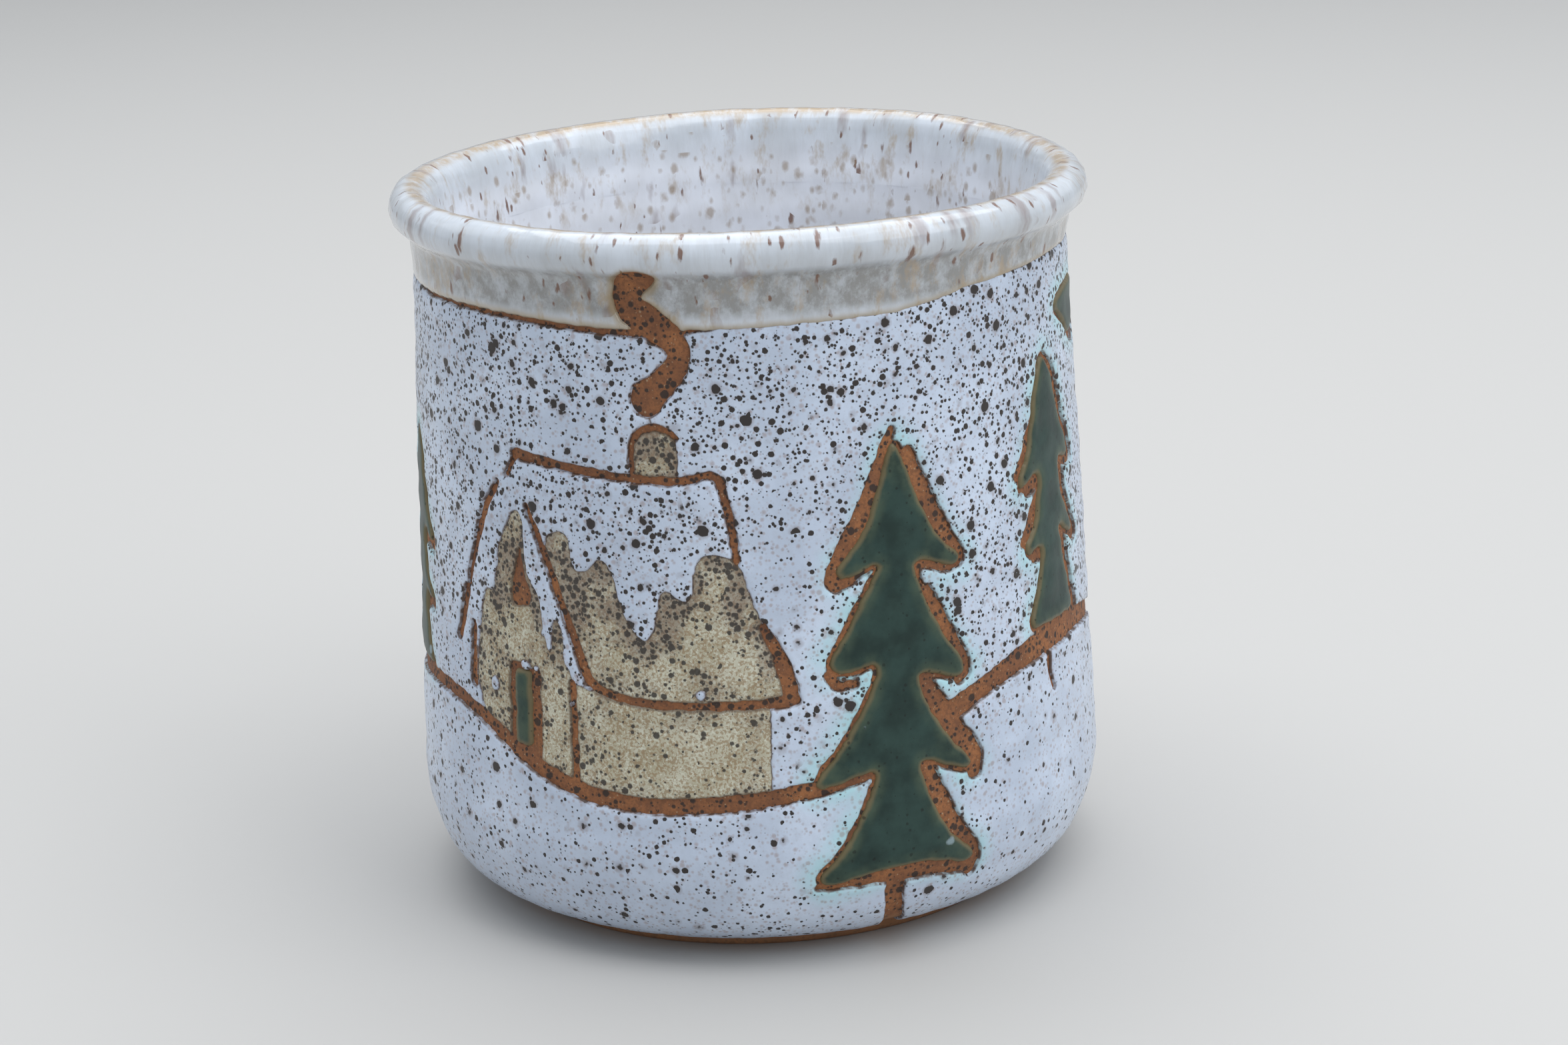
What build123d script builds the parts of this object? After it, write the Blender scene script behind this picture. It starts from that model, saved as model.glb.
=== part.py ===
"""Hand-thrown stoneware mug with a snowy cottage and fir trees under coloured glazes.

Millimetres, +Z up, origin at the centre of the foot. The decorated front faces -Y and the
handle is at +Y. The decoration is laid out on the unrolled wall: s is the distance round the
wall from the middle of the front, positive towards +X, and z is the height.
"""

from build123d import *

import os
from itertools import pairwise
from math import atan2, cos, degrees, hypot, radians, sin

# Driving dimensions
HEIGHT = 96.0
RIM_RADIUS = 46.0
GLAZE = 0.5  # thickness of every glaze coat
FOOT_RADIUS = 36.0
FOOT_RING_WIDTH = 5.0
FOOT_RECESS = 1.4
GLAZE_START = 37.0  # radius under the belly where the glaze begins
FLOOR_TOP = 6.0
FLOOR_ROUND = 14.0
BELLY_TOP = (45.75, 17.0)  # (radius, height), with the straight wall above it
NECK_FOOT = (42.86, 86.1)
BELLY_SWEEP = (20.0, 27.4)  # radius and angle of the gentle curve under BELLY_TOP
BELLY_ROUND = (9.6, 55.0)  # and of the round turn below that
INSIDE_FOOT = (42.0, FLOOR_TOP)
FLARE_FOOT = (39.7, 75.0)  # where the inside starts to flare to the lip
LIP_ROLL = 2.1  # radius of the clay roll that forms the lip
WALL_RADIUS = 45.0  # radius on which the decoration is unrolled
RIM_BAND_Z = 84.9  # lower edge of the rim glaze
RIM_BAND_TILT = 1.3  # the rim was dipped a little out of level, degrees
LINER_TOP = 86.0  # where the liner and the rim glaze meet on the inside
LINE = 1.0  # usual width of a bare line drawn through the glaze
EDGE = 0.45  # thin bare edge all round a fir
SHADE = (1.3, -0.9)  # the wider bare edge on a fir's right and under its boughs
CORNER = 0.3  # rounding of the coats' outline corners
HANDLE_WIDTH = 17.0
HANDLE_THICKNESS = 7.5
HANDLE_BEND = 13.0
SPECK = 0.5  # smallest patch of glaze that is kept, cubic mm
SKY_ABOVE = 50.0  # white fields that reach higher than this belong to the sky
TRUNK_WIDTH = 2.8

# Line through the middle of the floor and the wall, between the inside coat and the outside one
MID_WALL = [(0, 3.6), (33, 4.2), (39.5, 8), (43.3, 16), (43.6, 27), (41.3, 80)]
HANDLE_PATH = [(0, 40, 77), (0, 66, 81), (0, 77, 62), (0, 66, 36), (0, 40, 28)]

# Decoration on the unrolled wall, (s, z)
FIR_FRONT = [(18.5, 69), (20.3, 66), (21.6, 61.5), (25, 54.8), (28.4, 52.2), (27.2, 50.6)]
FIR_FRONT += [(20.9, 53.2), (21.6, 49.5), (24.5, 43), (28.3, 37.7), (27, 35.9), (20.6, 38.6)]
FIR_FRONT += [(21.6, 34.3), (25, 28.5), (28.6, 24.8), (27.2, 23.7), (20.1, 27.1), (21.2, 23)]
FIR_FRONT += [(24.2, 16), (28.8, 12.3), (27.3, 10.9), (21.5, 12.9), (14.5, 12.9), (7.4, 11.3)]
FIR_FRONT += [(6.1, 13), (9.4, 15.8), (12.8, 21.5), (14.9, 26.8), (7.6, 24.4), (6.1, 25.4)]
FIR_FRONT += [(9.8, 29.6), (13.4, 35), (15.9, 40.6), (10.2, 39), (8.6, 41), (11.2, 44.6)]
FIR_FRONT += [(14.5, 50.3), (16.6, 53.4), (11.2, 51.2), (10, 52.7), (14.2, 57), (16.4, 62.5)]
FIR_FRONT_TRUNK = [(16.8, 12.5), (16.6, 7), (19, 1)]
FIR_FRONT_SHADE = [(17.6, 68.5), (14.8, 60.5), (10, 53.5), (9.6, 50.4), (12.6, 51)]
# A smaller fir with three tiers, standing on (0, 0)
SMALL_FIR = [(0.5, 36), (2.6, 33), (4.2, 28), (7.4, 22.2), (6.8, 20.6), (2.8, 22), (4.2, 16)]
SMALL_FIR += [(7.9, 11.4), (6.8, 10), (2.1, 13.4), (3.6, 8), (6.4, 0.3), (-7.5, 0.8)]
SMALL_FIR += [(-4.2, 6), (-2.5, 11.7), (-6.6, 10.6), (-6.9, 12), (-3.8, 14.8), (-2.3, 21.8)]
SMALL_FIR += [(-7.4, 19.5), (-7.8, 20.8), (-4.9, 24.6), (-2.6, 32.4), (-0.8, 35.6)]
FIR_BOUGH = [(51.8, 79.5), (57, 80.9), (68, 81), (71, 78), (64, 74.4), (60, 73.6), (56, 77.2)]
# Firs: name, s of the trunk, foot height, size, and 1 or -1 for the way it faces
SMALL_FIRS = [("fir_right_glaze", 47.5, 38.0, 1.0, 1), ("fir_left_glaze", -62.5, 32.5, 0.9, -1)]
SMALL_FIRS += [("fir_back_right_glaze", 93.0, 31.5, 1.05, -1)]
SMALL_FIRS += [("fir_back_left_glaze", -98.0, 33.5, 1.1, 1)]

SMOKE = [(-12.8, 91), (-16, 88.4), (-14.6, 85.8), (-10.2, 84), (-8.4, 81.2), (-10.4, 78)]
SMOKE += [(-13.4, 75)]
SMOKE_WIDTH = 3.0
CHIMNEY = [(-14.5, 65.4), (-14.5, 70.4), (-13, 71.7), (-11, 71.7), (-9.3, 70.2), (-9.5, 65.4)]
CAP = [(-15.1, 65.4), (-15.1, 70.6), (-13.2, 72.2), (-10.8, 72.2), (-9, 70.6)]
RIDGE = [(-33, 66.9), (-27, 66.5), (-20, 65.5), (-11, 65), (-5.4, 65.7), (-3.7, 64.8)]
RIDGE += [(-2.7, 60), (-2.1, 55)]
RIDGE_END = [(-33, 66.6), (-34.6, 64)]
GABLE_EDGE = [(-36.6, 62.4), (-39.7, 58), (-42.2, 51.6), (-43.4, 47.6)]
GABLE_FOOT = [(-44, 46), (-46.2, 40.4)]
EAVE = [(3.6, 36.3), (-6, 36.2), (-14, 36.2), (-20, 37.1), (-22.4, 38.8), (-26.2, 49)]
EAVE += [(-29, 56), (-31, 60.4)]
EAVE_FLARE = [(1.2, 46.3), (3.2, 41), (4.1, 36.6)]
ROOF = [(-21.8, 39.2), (-19.6, 37.7), (-13, 36.9), (2.4, 37), (2.2, 40), (0.2, 46.5), (-2, 54.8)]
ROOF += [(-5.4, 56), (-7.3, 54.8), (-7.7, 50), (-9.3, 49.5), (-11.8, 51.6), (-12.9, 45.6)]
ROOF += [(-14.2, 44), (-16.8, 46.6), (-18.6, 53.2), (-20.2, 55), (-21.8, 52.6), (-24.2, 52.8)]
ROOF += [(-25, 58.2), (-27.6, 57.2), (-25.8, 49.4)]
LONG_WALL = [(-23.9, 25.2), (-17, 23.7), (-8, 24.1), (0.4, 25.4), (1.1, 35.4), (-13, 35.4)]
LONG_WALL += [(-20.6, 36.3), (-24, 38)]
GABLE_WALL = [(-33.6, 59.4), (-32.2, 59.4), (-31.6, 51), (-29.6, 49), (-28.4, 42), (-25.6, 38.6)]
GABLE_WALL += [(-25.4, 26.4), (-29.9, 26.8), (-29.9, 38.9), (-35.2, 39.4), (-35.6, 29.4)]
GABLE_WALL += [(-40.4, 31.4), (-41.8, 36), (-41, 42.6), (-39.6, 48), (-37.6, 48), (-36.4, 54.4)]
GABLE_WINDOW = [(-34.4, 46.9), (-31.2, 47.2), (-31, 49.4), (-32.3, 51.4), (-32.6, 55), (-34, 50.6)]
GABLE_SIDE = [(-42.4, 42.4), (-42.6, 35)]
DOOR = [(-34.4, 28.4), (-31.5, 28.4), (-31.4, 38.6), (-34.3, 38.6)]
DOOR_FRAME = [(-35.2, 26.5), (-29.9, 26.5), (-29.9, 39), (-35.2, 39.4)]
CORNER_LINE = [(-24.7, 38), (-24.6, 25)]
# Middle of the bare hill line all the way round, closing behind the handle
HILL = [(-141.4, 31), (-126, 33), (-112, 34.5), (-98, 33.5), (-84, 31), (-70, 31), (-58, 32.2)]
HILL += [(-50, 32.5), (-42, 31.2), (-36, 28.6), (-30, 25.8), (-24, 23.8), (-16, 22.7)]
HILL += [(-5, 23.2), (7, 24.8), (16, 27), (24, 31.4), (31, 34.2), (40, 36), (48, 36.8)]
HILL += [(58, 36.4), (70, 33.4), (82, 31.2), (93, 31), (108, 33), (124, 32.4), (141.4, 31)]
HILL_WIDTH = 2.2
HILL_STEM = [(44.6, 35.5), (45.2, 30)]


def on_lip(angle):
    """Point of the lip's round at an angle from straight out, in degrees, (radius, height)."""
    turn = radians(angle)
    middle = (RIM_RADIUS - GLAZE - LIP_ROLL, HEIGHT - GLAZE - LIP_ROLL)
    return (middle[0] + LIP_ROLL * cos(turn), middle[1] + LIP_ROLL * sin(turn))


def outside_line():
    """Draws the clay's outer profile and returns its lowest point and its end at the lip."""
    wall = Line(BELLY_TOP, NECK_FOOT)
    neck = TangentArc(wall @ 1, on_lip(-40), tangent=wall % 1)
    sweep_down = JernArc(wall @ 0, wall % 0 * -1, BELLY_SWEEP[0], -BELLY_SWEEP[1])
    under = JernArc(sweep_down @ 1, sweep_down % 1, BELLY_ROUND[0], -BELLY_ROUND[1])
    return under @ 1, neck @ 1


def facing(s):
    """Plane that faces straight out of the wall at s, 15 mm inside it, with z as its height."""
    turn = s / WALL_RADIUS
    inward = WALL_RADIUS - 15
    return Plane(
        origin=(inward * sin(turn), -inward * cos(turn), 0),
        x_dir=(cos(turn), sin(turn), 0),
        z_dir=(sin(turn), -cos(turn), 0),
    )


def column(middle, outlines=(), strokes=(), grow=0.0):
    """Column straight out through the wall at s = middle, for what is drawn on the wall there.

    Outlines are filled, and grown all round by grow. Strokes are lines with a width.
    """

    def flat(points):
        return [(WALL_RADIUS * sin((s - middle) / WALL_RADIUS), z) for s, z in points]

    with BuildPart() as block:
        with BuildSketch(facing(middle)):
            for outline in outlines:
                with BuildLine():
                    if grow:
                        Polyline(*flat(outline), close=True)
                    else:
                        FilletPolyline(*flat(outline), radius=CORNER, close=True)
                make_face()
            if grow:
                offset(amount=grow, kind=Kind.ARC)
            for points, width in strokes:
                for (x0, z0), (x1, z1) in pairwise(flat(points)):
                    angle = degrees(atan2(z1 - z0, x1 - x0))
                    with Locations(((x0 + x1) / 2, (z0 + z1) / 2)):
                        SlotCenterToCenter(hypot(x1 - x0, z1 - z0), width, rotation=angle)
        extrude(amount=25)
    return block.part


def middle_of(points):
    """Middle of the stretch of wall that some points cover."""
    sides = [s for s, z in points]
    return (min(sides) + max(sides)) / 2


def shaded(outline):
    """A fir's outline, and the same outline moved to the shaded side."""
    return [outline, [(s + SHADE[0], z + SHADE[1]) for s, z in outline]]


def small_fir(trunk, foot, size, way):
    """The small fir's outline at its place on the wall."""
    return [(trunk + way * size * x, foot + size * z) for x, z in SMALL_FIR]


# Sections of the clay and of the coat that covers it, in the half plane X > 0
with BuildSketch(Plane.XZ) as clay_section:
    with BuildLine():
        foot_top, lip_start = outside_line()
        lip = ThreePointArc(lip_start, on_lip(65), on_lip(170))
        inside = FilletPolyline(FLARE_FOOT, INSIDE_FOOT, (0, FLOOR_TOP), radius=FLOOR_ROUND)
        TangentArc(inside @ 0, lip @ 1, tangent=inside % 0 * -1)
        Polyline(
            (0, FLOOR_TOP),
            (0, FOOT_RECESS),
            (FOOT_RADIUS - FOOT_RING_WIDTH - 1.2, FOOT_RECESS),
            (FOOT_RADIUS - FOOT_RING_WIDTH, 0),
            (FOOT_RADIUS - 0.6, 0),
            (FOOT_RADIUS, 0.6),
            foot_top,
        )
    make_face()

with BuildSketch(Plane.XZ) as coat_section:
    add(clay_section.sketch)
    offset(amount=GLAZE, kind=Kind.ARC)
    add(clay_section.sketch, mode=Mode.SUBTRACT)
    Rectangle(2 * RIM_RADIUS, 2 * HEIGHT, align=(Align.MIN, Align.CENTER), mode=Mode.INTERSECT)
    with Locations((0, FLOOR_TOP / 4)):
        Rectangle(GLAZE_START, FLOOR_TOP, align=(Align.MIN, Align.CENTER), mode=Mode.SUBTRACT)

with BuildPart() as coat:
    add(coat_section.sketch)
    revolve(axis=Axis.Z)

# Solid of the whole clay shape, used to trim what is stuck onto its outside
with BuildSketch(Plane.XZ) as clay_outline:
    with BuildLine():
        foot_top, lip_start = outside_line()
        Polyline(lip_start, (0, lip_start.Y), (0, 0), (FOOT_RADIUS, 0), foot_top)
    make_face()

with BuildPart() as clay_envelope:
    add(clay_outline.sketch)
    revolve(axis=Axis.Z)

# Clay pieces
with BuildPart() as clay_body:
    add(clay_section.sketch)
    revolve(axis=Axis.Z)
clay_body.part.label = "clay_body"

with BuildLine() as handle_line:
    FilletPolyline(*HANDLE_PATH, radius=HANDLE_BEND)


def strap(grow):
    """Handle strap swept along its line, thicker all round by grow."""
    with BuildPart() as bar:
        start = Plane(origin=handle_line.line @ 0, x_dir=(1, 0, 0), z_dir=handle_line.line % 0)
        with BuildSketch(start):
            Ellipse(HANDLE_WIDTH / 2 + grow, HANDLE_THICKNESS / 2 + grow)
        sweep(path=handle_line.line)
    return bar.part


with BuildPart() as handle:
    add(strap(0))
    add(clay_envelope.part, mode=Mode.SUBTRACT)
handle.part.label = "handle"

# Cutters for the places where one coat ends and the next begins
with BuildPart() as above_band:
    with BuildSketch(Plane.XY.offset(RIM_BAND_Z).rotated((0, -RIM_BAND_TILT, 0))):
        Circle(2 * RIM_RADIUS)
    extrude(amount=HEIGHT)

with BuildPart() as cup_inside:
    with BuildSketch(Plane.XZ):
        with BuildLine():
            Polyline(*MID_WALL, (MID_WALL[-1][0], LINER_TOP), (0, LINER_TOP), MID_WALL[0])
        make_face()
    revolve(axis=Axis.Z)

# Bare clay: the hill line in short lengths, the smoke, and the edges left round the firs
smoke = column(middle_of(SMOKE), strokes=[(SMOKE, SMOKE_WIDTH)])
bare = [smoke, column(HILL_STEM[0][0], strokes=[(HILL_STEM, LINE)])]
for first in range(0, len(HILL) - 1, 2):
    run = HILL[first : first + 3]
    width = HILL_WIDTH + 0.2 * (first // 2 % 2)
    bare.append(column(middle_of(run), strokes=[(run, width)]))

firs = {"fir_front_glaze": FIR_FRONT, "fir_bough_glaze": FIR_BOUGH}
for name, trunk, foot, size, way in SMALL_FIRS:
    firs[name] = small_fir(trunk, foot, size, way)
trunk_and_shade = [(FIR_FRONT_TRUNK, TRUNK_WIDTH), (FIR_FRONT_SHADE, 2 * LINE)]
for name, outline in firs.items():
    strokes = trunk_and_shade if name == "fir_front_glaze" else []
    bare.append(column(middle_of(outline), shaded(outline), strokes, EDGE))

# The cottage, drawn as one sketch
ochre = {
    "roof_glaze": ROOF,
    "long_wall_glaze": LONG_WALL,
    "gable_wall_glaze": GABLE_WALL,
    "chimney_glaze": CHIMNEY,
}
cottage_middle = middle_of(GABLE_FOOT + EAVE_FLARE)
thin = [(points, LINE) for points in (RIDGE, RIDGE_END, EAVE, GABLE_EDGE, CORNER_LINE, CAP)]
thick = [(GABLE_FOOT, 2 * LINE), (EAVE_FLARE, 1.5 * LINE), (GABLE_SIDE, 1.3 * LINE)]
openings = [GABLE_WINDOW, DOOR_FRAME]
cottage_lines = column(cottage_middle, openings, thin + thick)
cottage = column(cottage_middle, openings + list(ochre.values()), thin + thick)

# Coats
with BuildPart() as liner_glaze:
    add(coat.part)
    add(cup_inside.part, mode=Mode.INTERSECT)
liner_glaze.part.label = "liner_glaze"

with BuildPart() as rim_glaze:
    add(coat.part)
    add(above_band.part, mode=Mode.INTERSECT)
    add([cup_inside.part, smoke], mode=Mode.SUBTRACT)
rim_glaze.part.label = "rim_glaze"

with BuildPart() as wall_coat:
    add(coat.part)
    add([above_band.part, cup_inside.part], mode=Mode.SUBTRACT)

with BuildPart() as white_glaze:
    add(wall_coat.part)
    for cutter in bare + [cottage, strap(GLAZE)]:
        add(cutter, mode=Mode.SUBTRACT)
fields = [field for field in white_glaze.part.solids() if field.volume > SPECK]

with BuildPart() as sky_glaze:
    add([field for field in fields if field.bounding_box().max.Z > SKY_ABOVE])
sky_glaze.part.label = "sky_glaze"

with BuildPart() as snow_glaze:
    add([field for field in fields if field.bounding_box().max.Z <= SKY_ABOVE])
snow_glaze.part.label = "snow_glaze"

coloured = []
for name, outline in ochre.items():
    with BuildPart() as ochre_glaze:
        add(wall_coat.part)
        add(column(cottage_middle, [outline]), mode=Mode.INTERSECT)
        add(cottage_lines, mode=Mode.SUBTRACT)
    ochre_glaze.part.label = name
    coloured.append(ochre_glaze.part)

with BuildPart() as door_glaze:
    add(wall_coat.part)
    add(column(cottage_middle, [DOOR]), mode=Mode.INTERSECT)
door_glaze.part.label = "door_glaze"
coloured.append(door_glaze.part)

for name, outline in firs.items():
    with BuildPart() as fir_glaze:
        add(wall_coat.part)
        add(column(middle_of(outline), [outline]), mode=Mode.INTERSECT)
    fir_glaze.part.label = name
    coloured.append(fir_glaze.part)

with BuildPart() as handle_glaze:
    add(strap(GLAZE))
    add([handle.part, clay_envelope.part], mode=Mode.SUBTRACT)
handle_glaze.part.label = "handle_glaze"

os.makedirs("parts", exist_ok=True)
whole = [clay_body.part, handle.part, handle_glaze.part, liner_glaze.part, rim_glaze.part]
whole += [sky_glaze.part, snow_glaze.part] + coloured
for piece in whole:
    export_step(piece, f"parts/{piece.label}.step")
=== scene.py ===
"""Looks of a hand-thrown stoneware mug with a snowy cottage and fir trees in coloured glazes.

The drawing is laid out in millimetres on the unrolled wall: s is the distance round the wall
from the middle of the front, positive towards +X, and z is the height. Every coat of glaze is
a closed thin mesh whose outline is the zero line of a distance field. Along the profile, t is
the distance from the middle of the foot, out under the belly, up the wall, over the lip and
down the inside to the middle of the floor.
"""

from functools import reduce
from math import atan2, cos, degrees, hypot, pi, radians, sin, tan

import bpy
import numpy as np
from mathutils import Matrix, Vector, geometry


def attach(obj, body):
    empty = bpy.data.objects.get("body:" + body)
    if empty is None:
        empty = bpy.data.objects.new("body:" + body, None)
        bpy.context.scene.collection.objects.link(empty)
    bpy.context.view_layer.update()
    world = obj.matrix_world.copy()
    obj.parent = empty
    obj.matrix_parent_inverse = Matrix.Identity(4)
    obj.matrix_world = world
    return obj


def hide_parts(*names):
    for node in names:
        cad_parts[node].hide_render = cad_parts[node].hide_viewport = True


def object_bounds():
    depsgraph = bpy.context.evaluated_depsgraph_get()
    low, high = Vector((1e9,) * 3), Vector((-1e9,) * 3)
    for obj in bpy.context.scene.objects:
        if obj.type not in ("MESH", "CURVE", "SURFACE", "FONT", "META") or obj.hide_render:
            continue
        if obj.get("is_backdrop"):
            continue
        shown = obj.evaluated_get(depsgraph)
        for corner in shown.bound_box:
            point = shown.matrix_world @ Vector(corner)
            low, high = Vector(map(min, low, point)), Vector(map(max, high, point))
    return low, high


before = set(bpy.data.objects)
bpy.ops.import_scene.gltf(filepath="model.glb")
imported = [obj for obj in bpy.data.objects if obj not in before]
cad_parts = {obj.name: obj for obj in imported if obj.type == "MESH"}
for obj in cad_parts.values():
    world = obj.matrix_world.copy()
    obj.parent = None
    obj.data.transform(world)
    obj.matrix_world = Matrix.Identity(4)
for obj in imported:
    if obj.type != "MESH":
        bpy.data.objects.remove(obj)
cad_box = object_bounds()

MM = 0.001
WALL_RADIUS = 45.0  # radius on which the drawing is unrolled
HALF = pi * WALL_RADIUS  # half the way round, where the drawing closes behind the handle

# Profile of the clay, (radius, height)
FOOT = [(0, 1.4), (29.8, 1.4), (31, 0), (35.4, 0), (36, 0.6)]
BELLY_TOP = (45.75, 17.0)
NECK_FOOT = (42.86, 86.1)
BELLY_SWEEP = (20.0, 27.4)  # radius, and turn in degrees, of the belly's upper round
BELLY_ROUND = (9.6, 55.0)  # the same for its lower, tighter round
LIP_CENTRE = (43.4, 93.4)
LIP_ROLL = 2.1
FLARE_FOOT = (39.7, 75.0)
FLOOR_TOP = 6.0
FLOOR_ROUND = 14.0
# Unevenness of the lip on the outside: size, height and reach of its bulge and of the crease under it
LIP_BULGE = (0.2, 92.5, 1.2)
LIP_CREASE = (0.42, 90.1, 1.1)
GLAZE_START = 37.0  # radius under the belly where the glaze begins
LINER_TOP = 86.0  # height inside where the liner meets the rim glaze

# Coats: full thickness, and the width of the rounded bead at their edge
WHITE = (0.5, 0.5)
RIM = (0.6, 0.9)
OCHRE = (0.27, 0.3)
GREEN = (0.5, 0.8)
SUNK = 0.06  # how far a coat's underside lies inside the clay

CELL = 0.25  # spacing of the grid that the distance fields are worked out on
REACH = 7.0  # distance up to which the fields are worked out
INSETS = [(0.0, 0.3), (0.14, 0.34), (0.38, 0.42), (0.85, 0.7), (1.5, 1.0)]  # depth, spacing
INNER_SPACING = 1.15  # spacing of the points further inside a coat
LINER_SEGMENTS = 288  # segments round the mug
SHORTEST_LOOP = 0.8  # shortest outline that is kept
SHORTEST_INSET = 0.4  # shortest line that is kept inside an outline

# The drawing, (s, z)
RIM_EDGE = [
    (-HALF, 84.7), (-110, 84.1), (-80, 83.9), (-50, 84.4), (-40, 84.6), (-30, 84.4), (-20, 83.9),
    (-10, 83.9), (0, 83.8), (10, 84), (20, 84.1), (26, 84.8), (31, 85.6), (40, 86), (52, 86.4),
    (75, 86.1), (105, 85.2), (HALF, 84.7),
]
# Width of the bare line between the rim glaze and the sky; below zero, they overlap
RIM_GAP = [
    (-HALF, -0.5), (-62, -0.5), (-54, 0.2), (-40, 0.35), (-20, 0.5), (-11, 0.9), (-6, 0.1), (-3, -0.5),
    (HALF, -0.5),
]

FIR_FRONT = [
    (18.5, 69), (20.3, 66), (21.6, 61.5), (25, 54.8), (28.4, 52.2), (27.2, 50.6), (20.9, 53.2),
    (21.6, 49.5), (24.5, 43), (28.3, 37.7), (27, 35.9), (20.6, 38.6), (21.6, 34.3), (25, 28.5),
    (28.6, 24.8), (27.2, 23.7), (20.1, 27.1), (21.2, 23), (24.2, 16), (28.8, 12.3), (27.3, 10.9),
    (21.5, 12.9), (14.5, 12.9), (7.4, 11.3), (6.1, 13), (9.4, 15.8), (12.8, 21.5), (14.9, 26.8),
    (7.6, 24.4), (6.1, 25.4), (9.8, 29.6), (13.4, 35), (15.9, 40.6), (10.2, 39), (8.6, 41),
    (11.2, 44.6), (14.5, 50.3), (16.6, 53.4), (11.2, 51.2), (10, 52.7), (14.2, 57), (16.4, 62.5),
]
SMALL_FIR = [
    (0.5, 36), (2.6, 33), (4.2, 28), (7.4, 22.2), (6.8, 20.6), (2.8, 22), (4.2, 16), (7.9, 11.4),
    (6.8, 10), (2.1, 13.4), (3.6, 8), (6.4, 0.3), (-7.5, 0.8), (-4.2, 6), (-2.5, 11.7), (-6.6, 10.6),
    (-6.9, 12), (-3.8, 14.8), (-2.3, 21.8), (-7.4, 19.5), (-7.8, 20.8), (-4.9, 24.6), (-2.6, 32.4),
    (-0.8, 35.6),
]
FIR_BOUGH = [(51.8, 79.5), (57, 80.9), (68, 81), (71, 78), (64, 74.4), (60, 73.6), (56, 77.2)]
SMALL_FIRS = [
    ("fir_right_glaze", 47.5, 38.0, 1.0, 1), ("fir_left_glaze", -62.5, 32.5, 0.9, -1),
    ("fir_back_right_glaze", 93.0, 31.5, 1.05, -1), ("fir_back_left_glaze", -98.0, 33.5, 1.1, 1),
]
SHADE = (1.3, -0.9)  # where the wider bare edge of a fir lies from its outline

ROOF = [
    (-21.8, 38.8), (-19.6, 37.3), (-13, 36.4), (3.6, 36.6), (2.8, 41), (0.6, 46.4), (-2, 54.8),
    (-5.4, 56), (-7.3, 54.8), (-7.7, 50), (-9.3, 49.5), (-11.8, 51.6), (-12.9, 45.6), (-14.2, 44),
    (-16.8, 46.6), (-18.6, 53.2), (-20.2, 55), (-21.8, 52.6), (-24.2, 52.8), (-25, 58.2), (-28.6, 56.4),
    (-26.1, 49.4),
]
LONG_WALL = [
    (-24.3, 24), (-17, 22.7), (-8, 23.1), (0.9, 24.4), (1.2, 35.8), (-13, 35.8), (-20.6, 36.8),
    (-24.3, 38),
]
GABLE_WALL = [
    (-33.6, 59.4), (-32.2, 59.4), (-31.6, 51), (-29.6, 49), (-28.7, 41.8), (-27.6, 41.6), (-27.5, 45.2),
    (-26.7, 46.2), (-26, 44.2), (-26.2, 41), (-24.8, 39), (-24.9, 24.4), (-29.9, 25.8), (-29.9, 38.9),
    (-35.2, 39.4), (-35.6, 28), (-40.4, 31.4), (-41.8, 36), (-41, 42.6), (-39.6, 48), (-37.6, 48),
    (-36.4, 54.4),
]
CHIMNEY = [(-15, 65.3), (-15, 70.4), (-13.4, 71.6), (-11, 71.6), (-9.2, 70.2), (-9.3, 65.3)]
DOOR = [(-34.4, 28.4), (-31.5, 28.4), (-31.4, 38.6), (-34.3, 38.6)]
GABLE_WINDOW = [(-34.4, 46.9), (-31.2, 47.2), (-31, 49.4), (-32.3, 51.4), (-32.6, 55), (-34, 50.6)]
DOOR_FRAME = [(-35.2, 26.5), (-29.9, 26.5), (-29.9, 39), (-35.2, 39.4)]

# Bare lines: points (s, z) and the width at each point, or one width for all
HILL = [
    (-141.4, 31), (-126, 33), (-112, 34.5), (-98, 33.5), (-84, 31), (-70, 31), (-58, 32.2), (-50, 32.5),
    (-42, 31.2), (-36, 28.6), (-30, 25.8), (-24, 23.8), (-16, 22.7), (-5, 23.2), (7, 24.8), (16, 27),
    (24, 31.4), (31, 34.2), (40, 36.4), (48, 37), (58, 36.4), (70, 33.4), (82, 31.2), (93, 31),
    (108, 33), (124, 32.4), (141.4, 31),
]
HILL_WIDTHS = [
    1.9, 2.1, 1.8, 2.0, 2.2, 1.9, 1.7, 1.8, 1.7, 2.0, 2.2, 2.1, 1.9, 2.1, 2.0, 2.4, 3.0, 2.5, 3.4, 3.8,
    2.4, 1.9, 2.1, 2.0, 1.8, 2.0, 1.9,
]
SMOKE = [
    (-12.8, 90.4), (-14.2, 90), (-15.2, 88.2), (-14.6, 86.4), (-12, 84.9), (-9.4, 83.1), (-8.2, 81),
    (-9, 79), (-11.2, 76.9), (-12.8, 75.5),
]
SMOKE_WIDTHS = [3.4, 4.0, 3.4, 3.8, 3.9, 3.3, 2.8, 3.0, 3.4, 4.5]
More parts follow.
